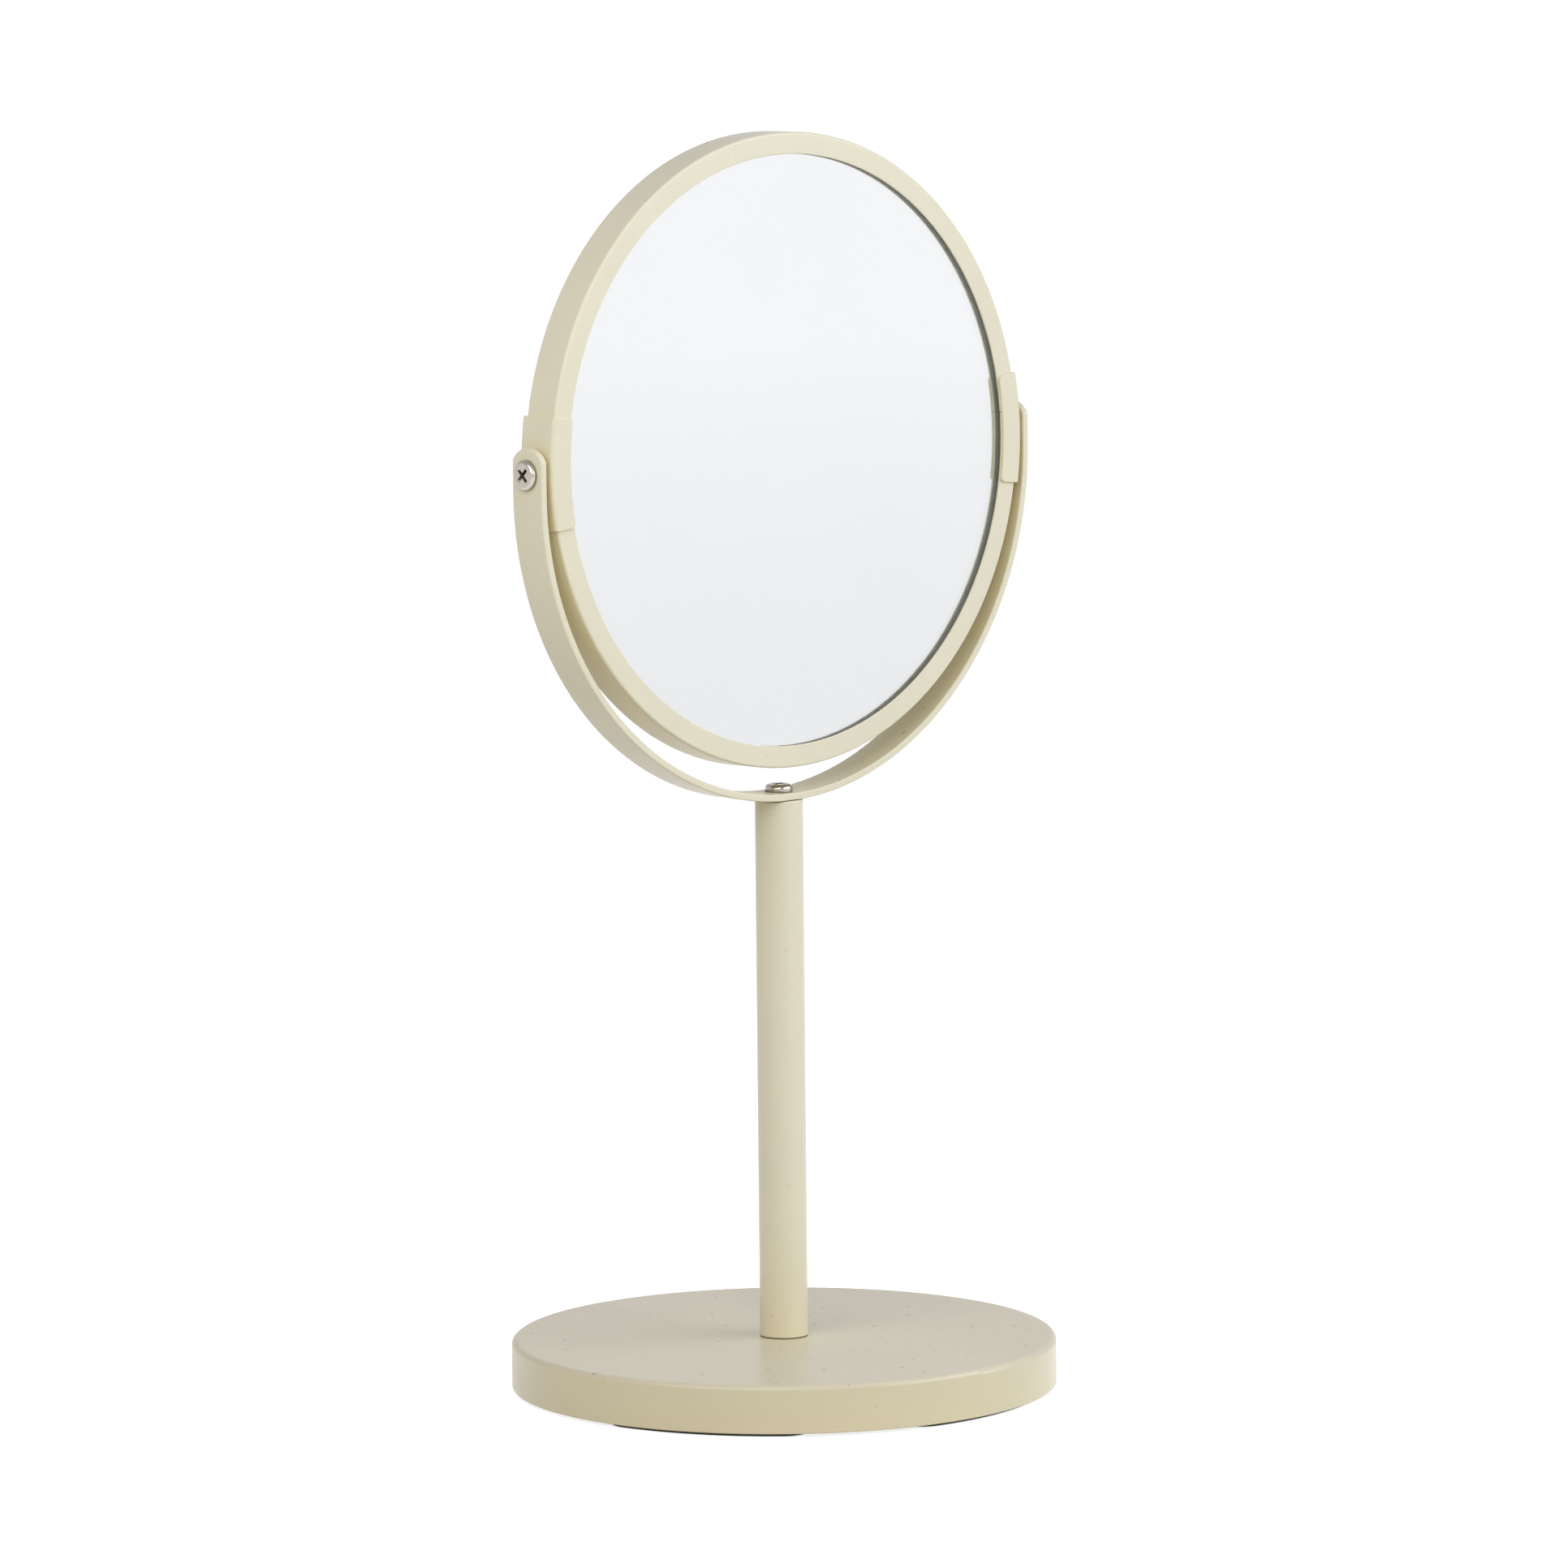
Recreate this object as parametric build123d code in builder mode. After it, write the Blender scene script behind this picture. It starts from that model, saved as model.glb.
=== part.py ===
from build123d import *
import os
from math import asin, cos, degrees, radians, sin, sqrt, tan

# Table mirror: a round frame with a glass on each side swings in a strip yoke on a weighted base.
# Millimetres, +Z up, the front glass faces -Y, the origin is on the floor under the stem.

# General allowances
OVERRUN = 1.0  # how far a cut runs past the metal
SEAT = 0.02  # gap left where two pieces are pressed together
SLIP = 0.05  # radial room of a screw, plug or bush in its own hole
HOLE_ROOM = 0.2  # radial room of a screw in a clearance hole

# Base: cover, weight and rubber feet
BASE_RADIUS = 73.8
BASE_SHEET = 1.2
BASE_INSIDE_BEND = 0.4
HEM_ROUND_SHARE = 0.3  # rounding of the cover's lower edge as a share of its sheet
WEIGHT_THICKNESS = 8.0
WEIGHT_ROOM = 0.8  # radial room between the weight and the cover
WEIGHT_CHAMFER = 1.0
COUNTERBORE_RADIUS = 9.0
COUNTERBORE_DEPTH_SHARE = 0.5  # depth of the bolt's recess as a share of the weight
FOOT_THICKNESS = 4.8
FOOT_PROUD = 1.0  # how far the feet stand below the cover
FOOT_ROOM = 1.1  # radial room between the feet and the cover
FOOT_WIDTH = 14.0
FOOT_EDGE = 0.3
FOOT_COUNT = 5
FOOT_SPAN = 37.0  # degrees between the centres of a foot's round ends
FOOT_TURN = 64.0  # degrees from the x axis to the middle of the first foot

# Bolt from the base into the stem
BOLT_RADIUS = 3.0
BOLT_LENGTH = 18.0
BOLT_HEAD_ACROSS = 10.0
BOLT_HEAD_HEIGHT = 4.0
BOLT_WASHER_RADIUS = 6.0
BOLT_WASHER_THICKNESS = 1.6
THREAD_CHAMFER = 0.5

# Stem
STEM_RADIUS = 6.5
STEM_WALL = 1.0
STEM_LENGTH = 146.6
STEM_EDGE_SHARE = 0.5  # rounding of the tube's ends as a share of its wall
BOTTOM_PLUG_LENGTH = 16.0
TOP_PLUG_LENGTH = 12.0

# Screws with a pan head and a cross recess
SCREW_RADIUS = 2.0
PAN_EDGE_SHARE = 0.6  # rounding of a head's rim as a share of its height
YOKE_SCREW_HEAD_RADIUS = 3.75
YOKE_SCREW_HEAD_HEIGHT = 2.0
YOKE_SCREW_LENGTH = 10.0
YOKE_SCREW_TURN = 20.0  # degrees
PIVOT_SCREW_HEAD_RADIUS = 4.0
PIVOT_SCREW_HEAD_HEIGHT = 1.6
PIVOT_SCREW_TURN = 45.0  # degrees
RECESS_SPAN = 4.5
RECESS_TIP = 1.4
RECESS_DEPTH = 1.9
RECESS_WING = 1.0

# Frame: a rolled channel that holds both glasses
FRAME_RADIUS = 85.2
FRAME_SHEET = 0.6
FRAME_LIP = 5.9
FRAME_INSIDE_BEND = 0.1
SEAM_GAP = 0.25
SEAM_RISE = 4.8  # the channel's ends meet this far above the right pivot
SEAM_CORNER = 0.4
LIP_EDGE_SHARE = 0.4  # rounding of a channel's lips as a share of its sheet
GLASS_THICKNESS = 1.8
GLASS_ROOM = 0.6  # radial room between a glass and the channel
GLASS_BEVEL_SHARE = 0.15  # bevel of the front glass as a share of its thickness
MAGNIFIER_DISH = 3.5  # depth of the hollow of the back glass
SPACER_WIDTH = 12.0
SPACER_ROOM = 0.4  # radial room between the spacer and the bushes
REST_TILT = 1.3  # degrees that the top of the frame leans back

# Pivots
BUSH_WALL = 0.8
BUSH_ROOM = 0.3  # room between a bush and each glass
BUSH_LENGTH = 4.4
BUSH_FLANGE_RADIUS = 4.0
BUSH_FLANGE = 0.7
PIVOT_WASHER_RADIUS = 4.0
PIVOT_WASHER_THICKNESS = 0.5
RUNNING_ROOM = 0.05  # radial room of a pivot screw in the yoke
END_PLAY = 0.05  # axial room on each side of a yoke end

# Brackets
BRACKET_SHEET = 0.8
BRACKET_FIT = 0.05  # gap between a bracket and the frame
BRACKET_LENGTH = 30.4
BRACKET_INSIDE_BEND = 0.2
BRACKET_CORNER = 1.6  # rounding of a flange's inner corners
BRACKET_EDGE_SHARE = 0.4  # rounding of a bracket's outer edges as a share of its sheet
BRACKET_SLANT = 5.0  # degrees that each end leans towards the frame's centre

# Yoke
YOKE_WIDTH = 11.5
YOKE_SHEET = 2.0
YOKE_DROP = 5.0  # straight length of each side below the pivot
YOKE_END = 7.1  # how far each side rises above the pivot
YOKE_END_RISE = 3.5  # height of the arc that closes each end
YOKE_EDGE_SHARE = 0.22  # rounding of the strip's edges as a share of its sheet

# Sizes that follow across the pivots, from the frame outwards
bush_radius = SCREW_RADIUS + BUSH_WALL
glass_half_gap = bush_radius + BUSH_ROOM
frame_half_depth = glass_half_gap + GLASS_THICKNESS + SEAT + FRAME_SHEET
frame_bend = FRAME_INSIDE_BEND + FRAME_SHEET
lip_radius = FRAME_RADIUS - FRAME_LIP
glass_radius = FRAME_RADIUS - FRAME_SHEET - GLASS_ROOM
bracket_outside = FRAME_RADIUS + BRACKET_FIT + BRACKET_SHEET
bracket_half_depth = frame_half_depth + BRACKET_FIT + BRACKET_SHEET
flange_seat = bracket_outside + SEAT
bush_end = flange_seat - BUSH_LENGTH
washer_seat = flange_seat + BUSH_FLANGE + SEAT
yoke_inside = washer_seat + PIVOT_WASHER_THICKNESS + END_PLAY
yoke_outside = yoke_inside + YOKE_SHEET
pivot_head_seat = yoke_outside + END_PLAY
spacer_radius = bush_end - SPACER_ROOM

# Heights that follow, from the floor upwards
weight_top = FOOT_THICKNESS + WEIGHT_THICKNESS
cover_top = weight_top + BASE_SHEET
counterbore_depth = WEIGHT_THICKNESS * COUNTERBORE_DEPTH_SHARE
bolt_seat = FOOT_THICKNESS + counterbore_depth - BOLT_WASHER_THICKNESS
stem_top = cover_top + STEM_LENGTH
yoke_centre = stem_top + SEAT + yoke_outside
pivot_height = yoke_centre + YOKE_DROP
yoke_screw_seat = yoke_centre - sqrt(yoke_inside**2 - YOKE_SCREW_HEAD_RADIUS**2) + SEAT

# HEAD lies in the mirror with its normal to the front, and everything in the frame is set from it
front = (0, -cos(radians(REST_TILT)), sin(radians(REST_TILT)))
HEAD = Plane(origin=(0, 0, pivot_height), x_dir=(1, 0, 0), z_dir=front)
HEAD_AXIS = Axis(HEAD.origin, HEAD.z_dir)

os.makedirs("parts", exist_ok=True)


def save(part, name):
    """Label one piece and write it under its name."""
    part.label = name
    export_step(part, f"parts/{name}.step")


def turned(plane, angle):
    """The same plane with its x axis turned about its normal."""
    return Plane(plane.location * Rotation(0, 0, angle))


def upright(seat, turn=0.0):
    """Plane through the normal of a seat, turned about that normal, with its y along it."""
    return Plane(origin=seat.origin, x_dir=turned(seat, turn).x_dir, z_dir=-turned(seat, turn).y_dir)


def side_plane(sign, distance):
    """Plane across the pivot axis that faces outwards on one side of the frame."""
    return Plane(origin=(sign * distance, 0, pivot_height), x_dir=(0, sign, 0), z_dir=(sign, 0, 0))


def flat_ring(seat, outer_radius, inner_radius, thickness):
    """Flat ring that stands on the seat."""
    with BuildPart() as body:
        with BuildSketch(seat):
            Circle(outer_radius)
            Circle(inner_radius, mode=Mode.SUBTRACT)
        extrude(amount=thickness)
    return body.part


def pan_screw(seat, head_radius, head_height, length, turn):
    """Pan-head screw whose head stands on the seat, with its cross recess turned about its axis."""
    along = Axis(seat.origin, seat.z_dir)
    with BuildPart() as screw:
        with BuildSketch(seat):
            Circle(head_radius)
        extrude(amount=head_height)
        fillet(screw.faces().sort_by(along)[-1].edges(), head_height * PAN_EDGE_SHARE)
        with BuildSketch(seat):
            Circle(SCREW_RADIUS)
        extrude(amount=-length)
        chamfer(screw.faces().sort_by(along)[0].edges(), THREAD_CHAMFER)
        for quarter in (0, 90):
            with BuildSketch(upright(seat, turn + quarter)):
                with BuildLine():
                    Polyline(
                        (-RECESS_SPAN / 2, head_height),
                        (RECESS_SPAN / 2, head_height),
                        (RECESS_TIP / 2, head_height - RECESS_DEPTH),
                        (-RECESS_TIP / 2, head_height - RECESS_DEPTH),
                        close=True,
                    )
                make_face()
            extrude(amount=RECESS_WING / 2, both=True, mode=Mode.SUBTRACT)
    return screw.part


def channel(plane, lip, outside, half_depth, sheet, bend):
    """Section of a bent channel that is open towards the centre, drawn on a radial plane."""
    inside = outside - sheet
    depth = half_depth - sheet
    with BuildSketch(plane) as section:
        with BuildLine():
            outer = FilletPolyline(
                (lip, half_depth),
                (outside, half_depth),
                (outside, -half_depth),
                (lip, -half_depth),
                radius=bend,
            )
            inner = FilletPolyline(
                (lip, depth), (inside, depth), (inside, -depth), (lip, -depth), radius=bend - sheet
            )
            Line(outer @ 0, inner @ 0)
            Line(outer @ 1, inner @ 1)
        make_face()
        fillet(section.vertices().group_by(Axis.X)[0], sheet * LIP_EDGE_SHARE)
    return section.sketch


# Base

with BuildPart() as base_cover:
    with BuildSketch(Plane.XZ):
        with BuildLine():
            bolt_hole = BOLT_RADIUS + HOLE_ROOM
            wall = BASE_RADIUS - BASE_SHEET
            outer = FilletPolyline(
                (bolt_hole, cover_top),
                (BASE_RADIUS, cover_top),
                (BASE_RADIUS, FOOT_PROUD),
                radius=BASE_INSIDE_BEND + BASE_SHEET,
            )
            inner = FilletPolyline(
                (bolt_hole, weight_top), (wall, weight_top), (wall, FOOT_PROUD), radius=BASE_INSIDE_BEND
            )
            Line(outer @ 0, inner @ 0)
            Line(outer @ 1, inner @ 1)
        make_face()
    revolve(axis=Axis.Z)
    fillet(base_cover.faces().sort_by(Axis.Z)[0].edges(), BASE_SHEET * HEM_ROUND_SHARE)
save(base_cover.part, "base_cover")

with BuildPart() as base_weight:
    with BuildSketch(Plane.XY.offset(FOOT_THICKNESS)):
        Circle(BASE_RADIUS - BASE_SHEET - WEIGHT_ROOM)
    extrude(amount=WEIGHT_THICKNESS)
    chamfer(base_weight.faces().sort_by(Axis.Z)[-1].edges(), WEIGHT_CHAMFER)
    with Locations(Plane.XY.offset(FOOT_THICKNESS).rotated((180, 0, 0))):
        CounterBoreHole(BOLT_RADIUS + HOLE_ROOM, COUNTERBORE_RADIUS, counterbore_depth)
save(base_weight.part, "base_weight")

foot_middle_radius = BASE_RADIUS - BASE_SHEET - FOOT_ROOM - FOOT_WIDTH / 2

for number in range(FOOT_COUNT):
    with BuildPart() as foot:
        with BuildSketch():
            start = FOOT_TURN + number * 360 / FOOT_COUNT - FOOT_SPAN / 2
            SlotArc(CenterArc((0, 0), foot_middle_radius, start, FOOT_SPAN), FOOT_WIDTH)
        extrude(amount=FOOT_THICKNESS)
        fillet(foot.faces().sort_by(Axis.Z)[0].edges(), FOOT_EDGE)
    save(foot.part, f"rubber_foot_{number + 1}")

with BuildPart() as base_bolt:
    with BuildSketch(Plane.XY.offset(bolt_seat)):
        RegularPolygon(BOLT_HEAD_ACROSS / 2, 6, major_radius=False)
    extrude(amount=-BOLT_HEAD_HEIGHT)
    with BuildSketch(Plane.XY.offset(bolt_seat)):
        Circle(BOLT_RADIUS)
    extrude(amount=BOLT_LENGTH)
    chamfer(base_bolt.faces().sort_by(Axis.Z)[-1].edges(), THREAD_CHAMFER)
save(base_bolt.part, "base_bolt")

bolt_washer = flat_ring(
    Plane.XY.offset(bolt_seat), BOLT_WASHER_RADIUS, BOLT_RADIUS + HOLE_ROOM, BOLT_WASHER_THICKNESS
)
save(bolt_washer, "base_bolt_washer")

# Stem

stem_bore = STEM_RADIUS - STEM_WALL

with BuildPart() as stem_tube:
    with BuildSketch(Plane.XY.offset(cover_top)):
        Circle(STEM_RADIUS)
        Circle(stem_bore, mode=Mode.SUBTRACT)
    extrude(amount=STEM_LENGTH)
    for end in (0, -1):
        fillet(stem_tube.faces().sort_by(Axis.Z)[end].outer_wire().edges(), STEM_WALL * STEM_EDGE_SHARE)
save(stem_tube.part, "stem_tube")

bottom_plug = flat_ring(
    Plane.XY.offset(cover_top), stem_bore - SLIP, BOLT_RADIUS + SLIP, BOTTOM_PLUG_LENGTH
)
save(bottom_plug, "stem_bottom_plug")

top_plug = flat_ring(Plane.XY.offset(stem_top), stem_bore - SLIP, SCREW_RADIUS + SLIP, -TOP_PLUG_LENGTH)
save(top_plug, "stem_top_plug")

# Yoke

with BuildPart() as yoke:
    with BuildSketch(Plane.XZ):
        with BuildLine():
            top = pivot_height + YOKE_END
            for radius in (yoke_inside, yoke_outside):
                Line((-radius, top), (-radius, yoke_centre))
                ThreePointArc((-radius, yoke_centre), (0, yoke_centre - radius), (radius, yoke_centre))
                Line((radius, yoke_centre), (radius, top))
            for sign in (-1, 1):
                Line((sign * yoke_inside, top), (sign * yoke_outside, top))
        make_face()
    extrude(amount=YOKE_WIDTH / 2, both=True)
    with BuildSketch(Plane.YZ):
        with BuildLine():
            half_width = YOKE_WIDTH / 2
            shoulder = top - YOKE_END_RISE
            low_end = stem_top - OVERRUN
            ThreePointArc((-half_width, shoulder), (0, top), (half_width, shoulder))
            Polyline(
                (-half_width, shoulder),
                (-half_width, low_end),
                (half_width, low_end),
                (half_width, shoulder),
            )
        make_face()
    extrude(amount=yoke_outside + OVERRUN, both=True, mode=Mode.INTERSECT)
    fillet(yoke.edges(), YOKE_SHEET * YOKE_EDGE_SHARE)
    with BuildSketch(side_plane(1, 0)):
        Circle(SCREW_RADIUS + RUNNING_ROOM)
    extrude(amount=yoke_outside + OVERRUN, both=True, mode=Mode.SUBTRACT)
    with BuildSketch(Plane.XY.offset(stem_top)):
        Circle(SCREW_RADIUS + HOLE_ROOM)
    extrude(amount=YOKE_SHEET + OVERRUN, mode=Mode.SUBTRACT)
save(yoke.part, "yoke")

yoke_screw = pan_screw(
    Plane.XY.offset(yoke_screw_seat),
    YOKE_SCREW_HEAD_RADIUS,
    YOKE_SCREW_HEAD_HEIGHT,
    YOKE_SCREW_LENGTH,
    YOKE_SCREW_TURN,
)
save(yoke_screw, "yoke_screw")

# Frame and its glasses

seam_angle = degrees(asin(SEAM_RISE / FRAME_RADIUS))

with BuildPart() as mirror_frame:
    section = channel(upright(HEAD), lip_radius, FRAME_RADIUS, frame_half_depth, FRAME_SHEET, frame_bend)
    revolve(section, axis=HEAD_AXIS)
    with BuildSketch(turned(HEAD, seam_angle)) as seam:
        with Locations((lip_radius, 0)):
            Rectangle(FRAME_LIP + OVERRUN, SEAM_GAP, align=(Align.MIN, Align.CENTER))
            Rectangle(OVERRUN, SEAM_GAP + 2 * (SEAM_CORNER + OVERRUN), align=(Align.MAX, Align.CENTER))
        fillet(seam.vertices().group_by(Axis.X)[1].sort_by(Axis.Y)[1:3], SEAM_CORNER)
    extrude(amount=frame_half_depth + OVERRUN, both=True, mode=Mode.SUBTRACT)
    with BuildSketch(side_plane(1, 0)):
        Circle(bush_radius + SLIP)
    extrude(amount=FRAME_RADIUS + OVERRUN, both=True, mode=Mode.SUBTRACT)
save(mirror_frame.part, "mirror_frame")

with BuildPart() as front_mirror:
    with BuildSketch(HEAD.offset(glass_half_gap)):
        Circle(glass_radius)
    extrude(amount=GLASS_THICKNESS)
    chamfer(front_mirror.edges().filter_by(GeomType.CIRCLE), GLASS_THICKNESS * GLASS_BEVEL_SHARE)
save(front_mirror.part, "front_mirror")

dish_sphere = (glass_radius**2 + MAGNIFIER_DISH**2) / (2 * MAGNIFIER_DISH)


def dish_centre(level):
    """Height of the centre of a dished face's sphere, where level is the height of the face's rim."""
    return level - (dish_sphere - MAGNIFIER_DISH)


def dish_point(radius, level):
    """Point of a dished face at this radius."""
    return radius, dish_centre(level) + sqrt(dish_sphere**2 - radius**2)


def dish_arc(inner_radius, outer_radius, level):
    """Arc along a dished face from one radius to another."""
    radii = (inner_radius, (inner_radius + outer_radius) / 2, outer_radius)
    return ThreePointArc(*[dish_point(radius, level) for radius in radii])


with BuildPart() as back_mirror:
    glass_back = -glass_half_gap - GLASS_THICKNESS
    with BuildSketch(HEAD.offset(glass_back - OVERRUN)):
        Circle(glass_radius)
    extrude(amount=GLASS_THICKNESS + MAGNIFIER_DISH + 2 * OVERRUN)
    with Locations(HEAD.offset(dish_centre(-glass_half_gap)).origin):
        Sphere(dish_sphere, mode=Mode.INTERSECT)
    with Locations(HEAD.offset(dish_centre(glass_back)).origin):
        Sphere(dish_sphere, mode=Mode.SUBTRACT)
save(back_mirror.part, "back_mirror")

with BuildPart() as mirror_spacer:
    with BuildSketch(upright(HEAD)):
        with BuildLine():
            spacer_inside = spacer_radius - SPACER_WIDTH
            spacer_front = glass_half_gap - SEAT
            back = dish_arc(spacer_inside, spacer_radius, -glass_half_gap + SEAT)
            Polyline(back @ 0, (spacer_inside, spacer_front), (spacer_radius, spacer_front), back @ 1)
        make_face()
    revolve(axis=HEAD_AXIS)
save(mirror_spacer.part, "mirror_spacer")

# Brackets, bushes, washers and screws at the two pivots

bracket_half_span = degrees(asin((BRACKET_LENGTH / 2 + OVERRUN) / lip_radius))
bracket_near = sqrt(lip_radius**2 - (BRACKET_LENGTH / 2) ** 2) - OVERRUN
bracket_far = bracket_outside + OVERRUN


def bracket_half_length(radius):
    """Half length of a bracket at this distance from the frame's centre."""
    return BRACKET_LENGTH / 2 - (bracket_outside - radius) * tan(radians(BRACKET_SLANT))


with BuildPart() as bracket:
    start = upright(HEAD, -bracket_half_span)
    bend = BRACKET_INSIDE_BEND + BRACKET_SHEET
    section = channel(start, bracket_near, bracket_outside, bracket_half_depth, BRACKET_SHEET, bend)
    revolve(section, axis=HEAD_AXIS, revolution_arc=2 * bracket_half_span)
    with BuildSketch(HEAD) as flange:
        with BuildLine():
            near = bracket_half_length(bracket_near)
            far = bracket_half_length(bracket_far)
            Polyline(
                (bracket_near, -near),
                (bracket_far, -far),
                (bracket_far, far),
                (bracket_near, near),
                close=True,
            )
        make_face()
        Circle(lip_radius, mode=Mode.SUBTRACT)
        fillet(flange.vertices().group_by(Axis.X)[0], BRACKET_CORNER)
    extrude(amount=bracket_half_depth + OVERRUN, both=True, mode=Mode.INTERSECT)
    # The outline is one smooth chain, so rounding its arc beside the glass rounds all of it
    front_face = bracket.faces().sort_by(HEAD_AXIS)[-1]
    rim = front_face.edges().filter_by(GeomType.CIRCLE).group_by(SortBy.RADIUS)[1]
    fillet(rim, BRACKET_SHEET * BRACKET_EDGE_SHARE)
    with BuildSketch(side_plane(1, 0)):
        Circle(bush_radius + SLIP)
    extrude(amount=bracket_far, mode=Mode.SUBTRACT)

save(mirror(bracket.part, about=Plane.YZ), "left_bracket")
save(bracket.part, "right_bracket")

for side, sign in (("left", -1), ("right", 1)):
    with BuildPart() as bush:
        with BuildSketch(side_plane(sign, flange_seat)):
            Circle(bush_radius)
        extrude(amount=-BUSH_LENGTH)
        with BuildSketch(side_plane(sign, flange_seat)):
            Circle(BUSH_FLANGE_RADIUS)
        extrude(amount=BUSH_FLANGE)
        with BuildSketch(side_plane(sign, 0)):
            Circle(SCREW_RADIUS + SLIP)
        extrude(amount=washer_seat + OVERRUN, mode=Mode.SUBTRACT)
    save(bush.part, f"{side}_pivot_bush")

    washer = flat_ring(
        side_plane(sign, washer_seat), PIVOT_WASHER_RADIUS, SCREW_RADIUS + SLIP, PIVOT_WASHER_THICKNESS
    )
    save(washer, f"{side}_pivot_washer")

    screw = pan_screw(
        side_plane(sign, pivot_head_seat),
        PIVOT_SCREW_HEAD_RADIUS,
        PIVOT_SCREW_HEAD_HEIGHT,
        pivot_head_seat - bush_end,
        PIVOT_SCREW_TURN,
    )
    save(screw, f"{side}_pivot_screw")
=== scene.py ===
import math

import bpy
from mathutils import Matrix, Vector

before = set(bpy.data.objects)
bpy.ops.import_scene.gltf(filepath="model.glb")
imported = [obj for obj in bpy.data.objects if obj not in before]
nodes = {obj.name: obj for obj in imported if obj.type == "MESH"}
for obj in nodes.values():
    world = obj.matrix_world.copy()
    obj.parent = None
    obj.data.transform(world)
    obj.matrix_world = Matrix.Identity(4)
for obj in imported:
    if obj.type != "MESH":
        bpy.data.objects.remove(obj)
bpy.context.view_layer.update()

# Camera, fitted to the photograph. Azimuth 0 looks along +Y, and lengths are metres.
PHOTO_PIXELS = 1932
FOCAL_PIXELS = 12942.883
SENSOR_WIDTH = 36.0
CAMERA_AZIMUTH = math.radians(-43.068)
CAMERA_REACH = 2.80236
CAMERA_HEIGHT = 0.53477
CAMERA_YAW = math.radians(-0.029)
CAMERA_PITCH = math.radians(-7.525)
CAMERA_ROLL = math.radians(-0.549)

# Floor and sky, which light the part in one tone and show in another
FLOOR_HALF_WIDTH = 20.0
FLOOR_BOUNCE = (0.66, 0.63, 0.52)
FLOOR_SHADE = 0.75
FLOOR_GLOW = 0.80
FLOOR_GLOW_FAR = 0.91
FLOOR_NEAR = 2.0
FLOOR_FAR = 5.0
SKY_LOW = 0.95
SKY_TOP = 0.58
SKY_RISE = 0.5  # where the sky reaches its top grey, as the sine of an elevation
AMBIENT = 0.42

# Lamps
LAMP_AIM = Vector((0.0, 0.0, 0.25))
KEY_AZIMUTH = math.radians(35.0)
KEY_ELEVATION = math.radians(20.0)
KEY_DISTANCE = 1.5
KEY_WIDTH = 1.7
KEY_HEIGHT = 0.8
KEY_POWER = 14.9
KEY_COLOUR = (0.88, 0.92, 1.0)
FILL_AZIMUTH = math.radians(-66.0)
FILL_ELEVATION = math.radians(30.0)
FILL_DISTANCE = 0.8
FILL_WIDTH = 1.0
FILL_HEIGHT = 0.6
FILL_POWER = 4.05
FILL_COLOUR = (1.0, 0.99, 0.98)

# Values that the materials share
WHITE = (1.0, 1.0, 1.0, 1.0)
BLACK = (0.0, 0.0, 0.0, 1.0)
NOISE_LOW = 0.3  # noise seldom leaves the range from here
NOISE_HIGH = 0.7  # to here
LIGHT_BUMP = 0.5
FIRM_BUMP = 0.6
CORNER_SAMPLES = 8
SPECK_CORE_SHARE = 0.6  # how much of a speck's radius is solid

# Powder coat. Colours are linear, and a rarity is the share of places that stay without a speck.
CREAM = (0.80, 0.752, 0.587)
CREAM_BASE = (0.75, 0.682, 0.515)  # the base is yellower in the photograph
CORNER_SHADE_CREAM = (0.78, 0.69, 0.43)  # painted warm shade in corners and near other parts
STAND_GAP_SHADE = (0.20, 0.17, 0.10)  # painted dark shade in narrow gaps of the stand
FRAME_GAP_SHADE_TINT = (0.97, 0.96, 0.74)  # painted tint for shade in narrow gaps of the frame, such as the inside of its lips
SPECK = (0.14, 0.12, 0.09)
TONE_SIZE = 0.022
TONE_SHARES = (0.98, 1.02)
CORNER_REACH = 0.05
GAP_SHADE_REACH = 0.0012
GAP_SHADE_FULL = 0.25  # openness below which a gap has its full painted shade
GAP_SHADE_END = 0.6
NIB_SPACING = 0.0027
NIB_RADIUS = 0.00022
NIB_RARITY = 0.75
NIB_STRENGTH = 0.45
NIB_HEIGHT = 0.00005
COARSE_DUST_SPACING = 0.009
COARSE_DUST_RADIUS = 0.00065
COARSE_DUST_RARITY = 0.86
FINE_DUST_SPACING = 0.006
FINE_DUST_RADIUS = 0.0004
FINE_DUST_RARITY = 0.78
DUST_STRENGTH = 0.55
DUST_START = 0.6  # upward part of the normal at which dust begins to lie
DUST_FULL = 0.95
PEEL_SIZE = 0.0026
PEEL_DEPTH = 0.00003
GRAIN_SIZE = 0.0005
GRAIN_DEPTH = 0.000006
SHEEN_SIZE = 0.012
SHEEN_ROUGHNESS = (0.28, 0.33)
PAINT_IOR = 1.5

# Bright plate and zinc
PLATE = (0.53, 0.49, 0.43)
PLATE_ROUGHNESS = (0.10, 0.20)
PLATE_SCRATCH = 0.000002
ZINC = (0.62, 0.63, 0.64)
ZINC_ROUGHNESS = (0.28, 0.42)
ZINC_SCRATCH = 0.000006
CLOUD_SIZE = 0.003
CLOUD_SHARES = (0.93, 1.03)
SCRATCH_SIZE = 0.0012
SCRATCH_STRETCH = (1.0, 14.0, 5.0)
SCRATCH_TURN = (0.3, 0.5, 0.8)
# Painted shade for the metal's recesses
RECESS_SHADE = (0.045, 0.040, 0.034)
RECESS_SHADE_REACH = 0.0016
RECESS_SHADE_FULL = 0.35  # openness below which a recess is all painted shade
RECESS_SHADE_END = 0.8

# Cast iron
IRON = (0.20, 0.20, 0.21)
IRON_CLOUD_SIZE = 0.009
IRON_SHARES = (0.75, 1.2)
IRON_METALLIC = 0.7
IRON_ROUGHNESS = (0.55, 0.75)
PIT_SIZE = 0.0011
PIT_DEPTH = 0.0002

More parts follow.
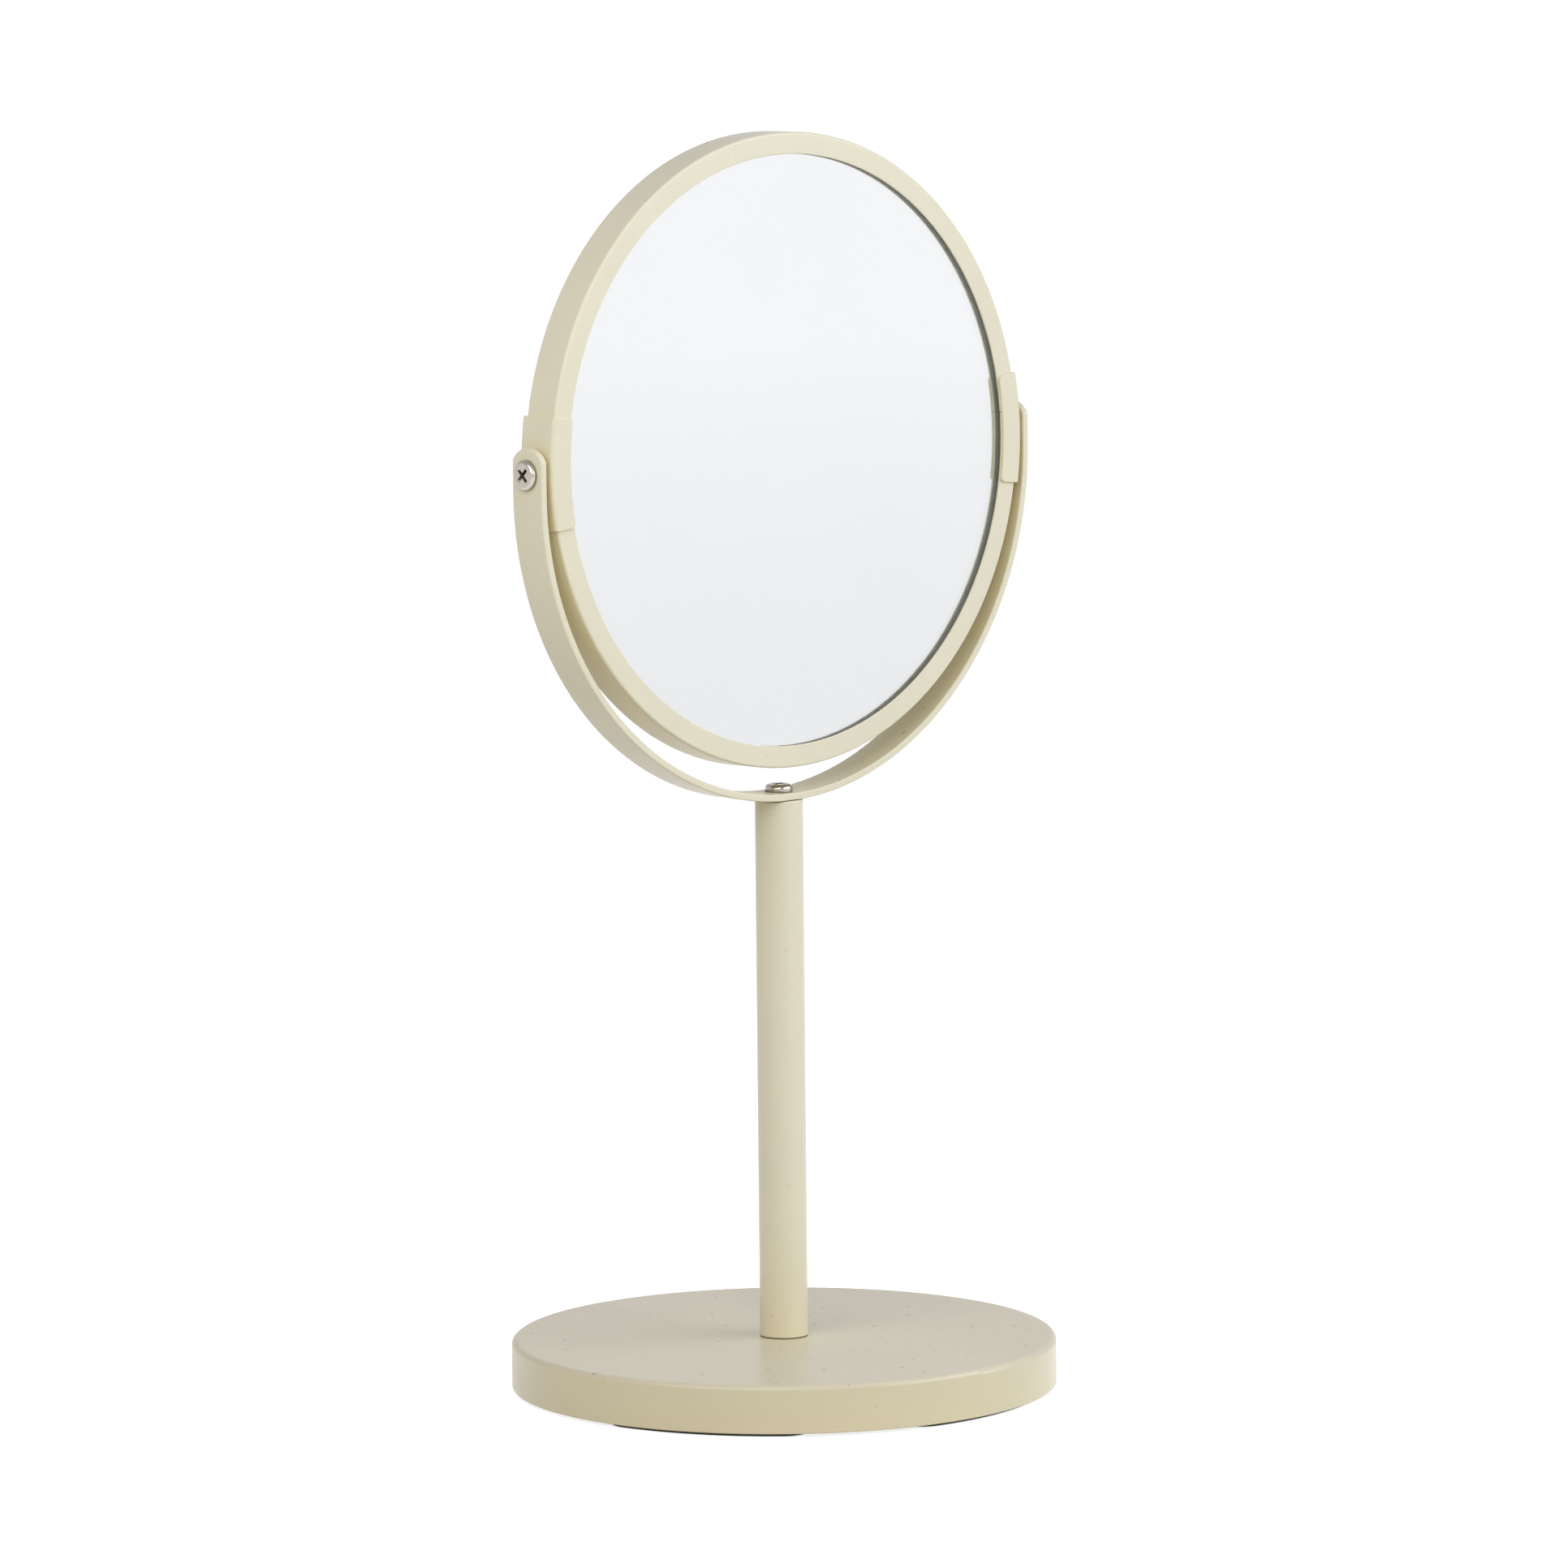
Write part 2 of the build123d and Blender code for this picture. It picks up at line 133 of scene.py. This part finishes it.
# Rubber and plastics
MARBLE_SIZE = 0.006
MARBLE_SHARES = (0.85, 1.12)
RUBBER = (0.03, 0.03, 0.03)
RUBBER_ROUGHNESS = (0.6, 0.8)
RUBBER_GRAIN_SIZE = 0.0004
RUBBER_GRAIN_DEPTH = 0.00003
NYLON = (0.85, 0.84, 0.80)
NYLON_ROUGHNESS = (0.4, 0.55)
NYLON_GRAIN_SIZE = 0.0005
NYLON_GRAIN_DEPTH = 0.00001
GREY_PLASTIC = (0.35, 0.35, 0.36)
GREY_PLASTIC_ROUGHNESS = (0.45, 0.6)
GREY_PLASTIC_GRAIN_SIZE = 0.0006
GREY_PLASTIC_GRAIN_DEPTH = 0.00002

# Mirror glass
GLASS = (0.985, 0.99, 0.99)
GLASS_TINT_SIZE = 0.06
GLASS_SHARES = (0.995, 1.005)
GLASS_HAZE_SIZE = 0.03
GLASS_ROUGHNESS = (0.0, 0.006)
GLASS_IOR = 1.52
SILVER = (0.837, 0.842, 0.852)
SILVER_TINT_SIZE = 0.05
SILVER_SHARES = (0.99, 1.01)
SILVER_HAZE_SIZE = 0.02
SILVER_ROUGHNESS = (0.0, 0.01)
SILVER_FACING = -0.7  # faces whose normals point less outwards than this are silvered


def add_node(tree, kind, inputs=None, **settings):
    """Add one shader node, set its fields and then its sockets, and return it."""
    made = tree.nodes.new(kind)
    for field, value in settings.items():
        setattr(made, field, value)
    for socket, value in (inputs or {}).items():
        if isinstance(value, bpy.types.NodeSocket):
            tree.links.new(value, made.inputs[socket])
        else:
            made.inputs[socket].default_value = value
    return made


def shade(colour, share=1.0):
    """A colour with alpha, made lighter or darker by a share."""
    return (*[min(1.0, channel * share) for channel in colour], 1.0)


def ramp(tree, value, low, high, start=0.0, end=1.0):
    """Blend from one colour to another as a value goes from start to end."""
    made = add_node(tree, "ShaderNodeValToRGB", {"Fac": value})
    for stop, (place, colour) in zip(made.color_ramp.elements, ((start, low), (end, high))):
        stop.position = place
        stop.color = colour
    return made.outputs["Color"]


def tones(tree, value, colour, shares, start=NOISE_LOW, end=NOISE_HIGH):
    """A colour that goes from a darker to a lighter share of itself as a value goes from start to end."""
    low, high = [shade(colour, share) for share in shares]
    return ramp(tree, value, low, high, start, end)


def spread(tree, value, low, high):
    """A value from 0 to 1 taken to the range from low to high."""
    return add_node(
        tree, "ShaderNodeMapRange", {"Value": value, "To Min": low, "To Max": high}
    ).outputs["Result"]


def math_node(tree, operation, first, second):
    """One sum of two values."""
    return add_node(tree, "ShaderNodeMath", {0: first, 1: second}, operation=operation).outputs["Value"]


def noise(tree, place, size, detail=2.0, output="Fac"):
    """Noise whose features are about this size in metres."""
    return add_node(
        tree, "ShaderNodeTexNoise", {"Vector": place, "Scale": 1 / size, "Detail": detail}
    ).outputs[output]


def bump(tree, height, depth, strength, below=None):
    """Bump of this depth in metres, on top of another bump if there is one."""
    inputs = {"Height": height, "Distance": depth, "Strength": strength}
    if below is not None:
        inputs["Normal"] = below
    return add_node(tree, "ShaderNodeBump", inputs).outputs["Normal"]


def start_material(name):
    """A new material with its node tree, its shader and the piece's own coordinates."""
    material = bpy.data.materials.new(name)
    material.use_nodes = True
    tree = material.node_tree
    shader = tree.nodes["Principled BSDF"]
    place = add_node(tree, "ShaderNodeTexCoord").outputs["Object"]
    return material, tree, shader, place


def finish_shader(tree, shader, **sockets):
    """Set or link the shader's sockets, named with _ for a space."""
    for name, value in sockets.items():
        socket = shader.inputs[name.replace("_", " ")]
        if isinstance(value, bpy.types.NodeSocket):
            tree.links.new(value, socket)
        else:
            socket.default_value = value


def blend(tree, share, first, second):
    """Mix of two colours, the second one where the share is 1."""
    return add_node(
        tree, "ShaderNodeMix", {"Factor": share, "A": first, "B": second}, data_type="RGBA"
    ).outputs[2]


def openness(tree, reach):
    """1 on open surfaces, less in corners and gaps narrower than about this reach in metres."""
    return add_node(
        tree, "ShaderNodeAmbientOcclusion", {"Distance": reach}, samples=CORNER_SAMPLES
    ).outputs["AO"]


def specks(tree, place, spacing, radius, rarity, dimensions="3D"):
    """Scattered specks, 1 on a speck and 0 elsewhere, left out of this share of the places."""
    wobble = noise(tree, place, radius, detail=1.0, output="Color")
    shaken = add_node(
        tree,
        "ShaderNodeVectorMath",
        {0: wobble, 1: (radius, radius, radius), 2: place},
        operation="MULTIPLY_ADD",
    ).outputs["Vector"]
    cells = add_node(
        tree,
        "ShaderNodeTexVoronoi",
        {"Vector": shaken, "Scale": 1 / spacing},
        voronoi_dimensions=dimensions,
    ).outputs
    edge = radius / spacing
    spot = ramp(tree, cells["Distance"], WHITE, BLACK, SPECK_CORE_SHARE * edge, edge)
    pick = add_node(tree, "ShaderNodeSeparateColor", {"Color": cells["Color"]}).outputs["Red"]
    some = math_node(tree, "GREATER_THAN", pick, rarity)
    return math_node(tree, "MULTIPLY", spot, some)


def dust_on_tops(tree, place):
    """Coarse and fine dust, 1 on a grain and 0 elsewhere, that lies on level tops only."""
    coarse = specks(tree, place, COARSE_DUST_SPACING, COARSE_DUST_RADIUS, COARSE_DUST_RARITY, "2D")
    fine = specks(tree, place, FINE_DUST_SPACING, FINE_DUST_RADIUS, FINE_DUST_RARITY, "2D")
    normal = add_node(tree, "ShaderNodeNewGeometry").outputs["Normal"]
    upward = add_node(tree, "ShaderNodeSeparateXYZ", {"Vector": normal}).outputs["Z"]
    level = ramp(tree, upward, BLACK, WHITE, DUST_START, DUST_FULL)
    return math_node(tree, "MULTIPLY", math_node(tree, "MAXIMUM", coarse, fine), level)


def powder_coat(name, colour, gap_shade_colour):
    """Satin powder coat with soft shifts of tone, painted shade in corners and narrow gaps, orange peel,
    grain, nibs and dust.
    """
    material, tree, shader, place = start_material(name)
    tone = tones(tree, noise(tree, place, TONE_SIZE, detail=4.0), colour, TONE_SHARES)
    # Painted warm shade: the cream turns deeper where corners and nearby parts hide the surroundings.
    corner_shaded = blend(tree, openness(tree, CORNER_REACH), shade(CORNER_SHADE_CREAM), tone)
    # Painted shade in narrow gaps between parts and inside the frame's lips, from a short-reach occlusion
    # mask.
    gap_shade = ramp(tree, openness(tree, GAP_SHADE_REACH), WHITE, BLACK, GAP_SHADE_FULL, GAP_SHADE_END)
    gap_shaded = blend(tree, gap_shade, corner_shaded, shade(gap_shade_colour))
    nibs = specks(tree, place, NIB_SPACING, NIB_RADIUS, NIB_RARITY)
    nibbed = blend(tree, spread(tree, nibs, 0.0, NIB_STRENGTH), gap_shaded, shade(SPECK))
    dust = dust_on_tops(tree, place)
    dusted = blend(tree, spread(tree, dust, 0.0, DUST_STRENGTH), nibbed, shade(SPECK))
    peel = bump(tree, noise(tree, place, PEEL_SIZE), PEEL_DEPTH, LIGHT_BUMP)
    grain = bump(tree, noise(tree, place, GRAIN_SIZE), GRAIN_DEPTH, LIGHT_BUMP, peel)
    finish_shader(
        tree,
        shader,
        Base_Color=dusted,
        Roughness=spread(tree, noise(tree, place, SHEEN_SIZE), *SHEEN_ROUGHNESS),
        IOR=PAINT_IOR,
        Normal=bump(tree, nibs, NIB_HEIGHT, FIRM_BUMP, grain),
    )
    return material


def metal(name, colour, roughness, scratch_depth):
    """Plated metal with slight clouding, fine scratches and painted shade in its recesses."""
    material, tree, shader, place = start_material(name)
    cloud = noise(tree, place, CLOUD_SIZE, detail=4.0)
    unshaded = tones(tree, cloud, colour, CLOUD_SHARES)
    # Painted shade: darker and less metallic where a recess leaves little open around it.
    recess_shade = ramp(tree, openness(tree, RECESS_SHADE_REACH), WHITE, BLACK, RECESS_SHADE_FULL, RECESS_SHADE_END)
    scratches = add_node(
        tree, "ShaderNodeMapping", {"Vector": place, "Scale": SCRATCH_STRETCH, "Rotation": SCRATCH_TURN}
    ).outputs["Vector"]
    finish_shader(
        tree,
        shader,
        Base_Color=blend(tree, recess_shade, unshaded, shade(RECESS_SHADE)),
        Metallic=spread(tree, recess_shade, 1.0, 0.0),
        Roughness=spread(tree, cloud, *roughness),
        Normal=bump(tree, noise(tree, scratches, SCRATCH_SIZE), scratch_depth, LIGHT_BUMP),
    )
    return material


def cast_iron():
    """Bare casting: dark, rough and pitted."""
    material, tree, shader, place = start_material("cast_iron")
    cloud = noise(tree, place, IRON_CLOUD_SIZE, detail=5.0)
    finish_shader(
        tree,
        shader,
        Base_Color=tones(tree, cloud, IRON, IRON_SHARES),
        Metallic=IRON_METALLIC,
        Roughness=spread(tree, cloud, *IRON_ROUGHNESS),
        Normal=bump(tree, noise(tree, place, PIT_SIZE, detail=3.0), PIT_DEPTH, FIRM_BUMP),
    )
    return material


def soft_plastic(name, colour, roughness, grain_size, grain_depth):
    """Moulded rubber or plastic with a fine mould grain and slight marbling."""
    material, tree, shader, place = start_material(name)
    marble = noise(tree, place, MARBLE_SIZE, detail=4.0)
    finish_shader(
        tree,
        shader,
        Base_Color=tones(tree, marble, colour, MARBLE_SHARES),
        Roughness=spread(tree, marble, *roughness),
        Normal=bump(tree, noise(tree, place, grain_size), grain_depth, FIRM_BUMP),
    )
    return material


def clear_glass():
    """Float glass with the faintest haze of wiping marks."""
    material, tree, shader, place = start_material("clear_glass")
    tint = noise(tree, place, GLASS_TINT_SIZE)
    finish_shader(
        tree,
        shader,
        Base_Color=tones(tree, tint, GLASS, GLASS_SHARES, start=0.0, end=1.0),
        Roughness=spread(tree, noise(tree, place, GLASS_HAZE_SIZE, detail=3.0), *GLASS_ROUGHNESS),
        IOR=GLASS_IOR,
        Transmission_Weight=1.0,
    )
    return material


def silvering():
    """Silver behind the glass."""
    material, tree, shader, place = start_material("silvering")
    tint = noise(tree, place, SILVER_TINT_SIZE)
    finish_shader(
        tree,
        shader,
        Base_Color=tones(tree, tint, SILVER, SILVER_SHARES, start=0.0, end=1.0),
        Metallic=1.0,
        Roughness=spread(tree, noise(tree, place, SILVER_HAZE_SIZE), *SILVER_ROUGHNESS),
    )
    return material


def dress(material, *names):
    """Give each named CAD node one material."""
    for name in names:
        nodes[name].data.materials.clear()
        nodes[name].data.materials.append(material)


def silver_inside(name, outward, glass, silver):
    """Dress a mirror as clear glass with its inner face silvered. Outward points out of its visible face."""
    mesh = nodes[name].data
    dress(glass, name)
    mesh.materials.append(silver)
    for polygon in mesh.polygons:
        polygon.material_index = int(polygon.normal.dot(outward) < SILVER_FACING)


def dress_part():
    """Give every CAD node its material."""
    dress(powder_coat("base_powder_coat", CREAM_BASE, STAND_GAP_SHADE), "base_cover")
    dress(powder_coat("stand_powder_coat", CREAM, STAND_GAP_SHADE), "stem_tube", "yoke")
    dress(
        powder_coat("frame_powder_coat", CREAM, FRAME_GAP_SHADE_TINT),
        "mirror_frame",
        "left_bracket",
        "right_bracket",
    )
    dress(
        metal("bright_plate", PLATE, PLATE_ROUGHNESS, PLATE_SCRATCH),
        "yoke_screw",
        "left_pivot_screw",
        "right_pivot_screw",
    )
    dress(
        metal("zinc_steel", ZINC, ZINC_ROUGHNESS, ZINC_SCRATCH),
        "base_bolt",
        "base_bolt_washer",
        "stem_bottom_plug",
        "stem_top_plug",
        "left_pivot_bush",
        "right_pivot_bush",
    )
    dress(cast_iron(), "base_weight")
    dress(
        soft_plastic("black_rubber", RUBBER, RUBBER_ROUGHNESS, RUBBER_GRAIN_SIZE, RUBBER_GRAIN_DEPTH),
        *[name for name in nodes if name.startswith("rubber_foot")],
    )
    dress(
        soft_plastic("nylon", NYLON, NYLON_ROUGHNESS, NYLON_GRAIN_SIZE, NYLON_GRAIN_DEPTH),
        "left_pivot_washer",
        "right_pivot_washer",
    )
    dress(
        soft_plastic(
            "grey_plastic",
            GREY_PLASTIC,
            GREY_PLASTIC_ROUGHNESS,
            GREY_PLASTIC_GRAIN_SIZE,
            GREY_PLASTIC_GRAIN_DEPTH,
        ),
        "mirror_spacer",
    )
    glass = clear_glass()
    silver = silvering()
    silver_inside("front_mirror", Vector((0, -1, 0)), glass, silver)
    silver_inside("back_mirror", Vector((0, 1, 0)), glass, silver)


def seen_rays(tree):
    """1 for what the camera sees directly, and 1 for what shows in a reflection or through glass."""
    path = add_node(tree, "ShaderNodeLightPath").outputs
    mirrored = math_node(tree, "MAXIMUM", path["Is Glossy Ray"], path["Is Transmission Ray"])
    return path["Is Camera Ray"], mirrored


def floor_paint():
    """Pale matt paint that lights the part in its own colour and is seen as near white."""
    material = bpy.data.materials.new("white_floor")
    material.use_nodes = True
    tree = material.node_tree
    tree.nodes.remove(tree.nodes["Principled BSDF"])
    place = add_node(tree, "ShaderNodeTexCoord").outputs["Object"]
    distance = add_node(tree, "ShaderNodeVectorMath", {0: place}, operation="LENGTH").outputs["Value"]
    level = add_node(
        tree,
        "ShaderNodeMapRange",
        {
            "Value": distance,
            "From Min": FLOOR_NEAR,
            "From Max": FLOOR_FAR,
            "To Min": FLOOR_GLOW,
            "To Max": FLOOR_GLOW_FAR,
        },
    ).outputs["Result"]
    lighting = add_node(tree, "ShaderNodeBsdfDiffuse", {"Color": shade(FLOOR_BOUNCE)})
    shaded = add_node(tree, "ShaderNodeBsdfDiffuse", {"Color": shade((FLOOR_SHADE,) * 3)})
    glow = add_node(tree, "ShaderNodeEmission", {"Strength": level})
    seen = add_node(tree, "ShaderNodeAddShader", {0: shaded.outputs["BSDF"], 1: glow.outputs["Emission"]})
    surface = add_node(
        tree,
        "ShaderNodeMixShader",
        {
            0: math_node(tree, "MAXIMUM", *seen_rays(tree)),
            1: lighting.outputs["BSDF"],
            2: seen.outputs["Shader"],
        },
    )
    tree.links.new(surface.outputs["Shader"], tree.nodes["Material Output"].inputs["Surface"])
    return material


def make_floor():
    """Pale floor that reads white and keeps the object's shadow."""
    reach = FLOOR_HALF_WIDTH
    corners = [(-reach, -reach, 0), (reach, -reach, 0), (reach, reach, 0), (-reach, reach, 0)]
    mesh = bpy.data.meshes.new("floor")
    mesh.from_pydata(corners, [], [(0, 1, 2, 3)])
    mesh.materials.append(floor_paint())
    floor = bpy.data.objects.new("floor", mesh)
    bpy.context.scene.collection.objects.link(floor)


def make_sky():
    """Sky that greys towards its top in reflections and lighting, and is white to the camera."""
    world = bpy.data.worlds.new("studio")
    bpy.context.scene.world = world
    world.use_nodes = True
    tree = world.node_tree
    direction = add_node(tree, "ShaderNodeTexCoord").outputs["Generated"]
    height = add_node(tree, "ShaderNodeSeparateXYZ", {"Vector": direction}).outputs["Z"]
    sky = ramp(tree, height, shade((SKY_LOW,) * 3), shade((SKY_TOP,) * 3), 0.0, SKY_RISE)
    direct, mirrored = seen_rays(tree)
    around = add_node(
        tree, "ShaderNodeBackground", {"Color": sky, "Strength": spread(tree, mirrored, AMBIENT, 1.0)}
    )
    white = add_node(tree, "ShaderNodeBackground", {"Color": WHITE})
    surface = add_node(
        tree,
        "ShaderNodeMixShader",
        {0: direct, 1: around.outputs["Background"], 2: white.outputs["Background"]},
    )
    tree.links.new(surface.outputs["Shader"], tree.nodes["World Output"].inputs["Surface"])


def make_softbox(name, azimuth, elevation, distance, width, height, power, colour):
    """Soft lamp that faces the object from a direction, with azimuth 0 in front of the mirror."""
    lamp = bpy.data.lights.new(name, "AREA")
    lamp.shape = "RECTANGLE"
    lamp.size = width
    lamp.size_y = height
    lamp.energy = power
    lamp.color = colour
    softbox = bpy.data.objects.new(name, lamp)
    bpy.context.scene.collection.objects.link(softbox)
    level = math.cos(elevation)
    towards = Vector((math.sin(azimuth) * level, -math.cos(azimuth) * level, math.sin(elevation)))
    softbox.location = LAMP_AIM + towards * distance
    softbox.rotation_euler = towards.to_track_quat("Z", "Y").to_euler()


def make_camera():
    """Camera at the photograph's place and angle."""
    lens = bpy.data.cameras.new("camera")
    lens.sensor_width = SENSOR_WIDTH
    lens.lens = SENSOR_WIDTH * FOCAL_PIXELS / PHOTO_PIXELS
    camera = bpy.data.objects.new("camera", lens)
    bpy.context.scene.collection.objects.link(camera)
    place = Vector(
        (math.sin(CAMERA_AZIMUTH) * CAMERA_REACH, -math.cos(CAMERA_AZIMUTH) * CAMERA_REACH, CAMERA_HEIGHT)
    )
    camera.matrix_world = (
        Matrix.Translation(place)
        @ Matrix.Rotation(CAMERA_AZIMUTH + CAMERA_YAW, 4, "Z")
        @ Matrix.Rotation(math.pi / 2 + CAMERA_PITCH, 4, "X")
        @ Matrix.Rotation(CAMERA_ROLL, 4, "Z")
    )
    bpy.context.scene.camera = camera


dress_part()
make_floor()
make_sky()
make_softbox(
    "key", KEY_AZIMUTH, KEY_ELEVATION, KEY_DISTANCE, KEY_WIDTH, KEY_HEIGHT, KEY_POWER, KEY_COLOUR
)
make_softbox(
    "fill", FILL_AZIMUTH, FILL_ELEVATION, FILL_DISTANCE, FILL_WIDTH, FILL_HEIGHT, FILL_POWER, FILL_COLOUR
)
make_camera()
bpy.context.scene.view_settings.view_transform = "Standard"
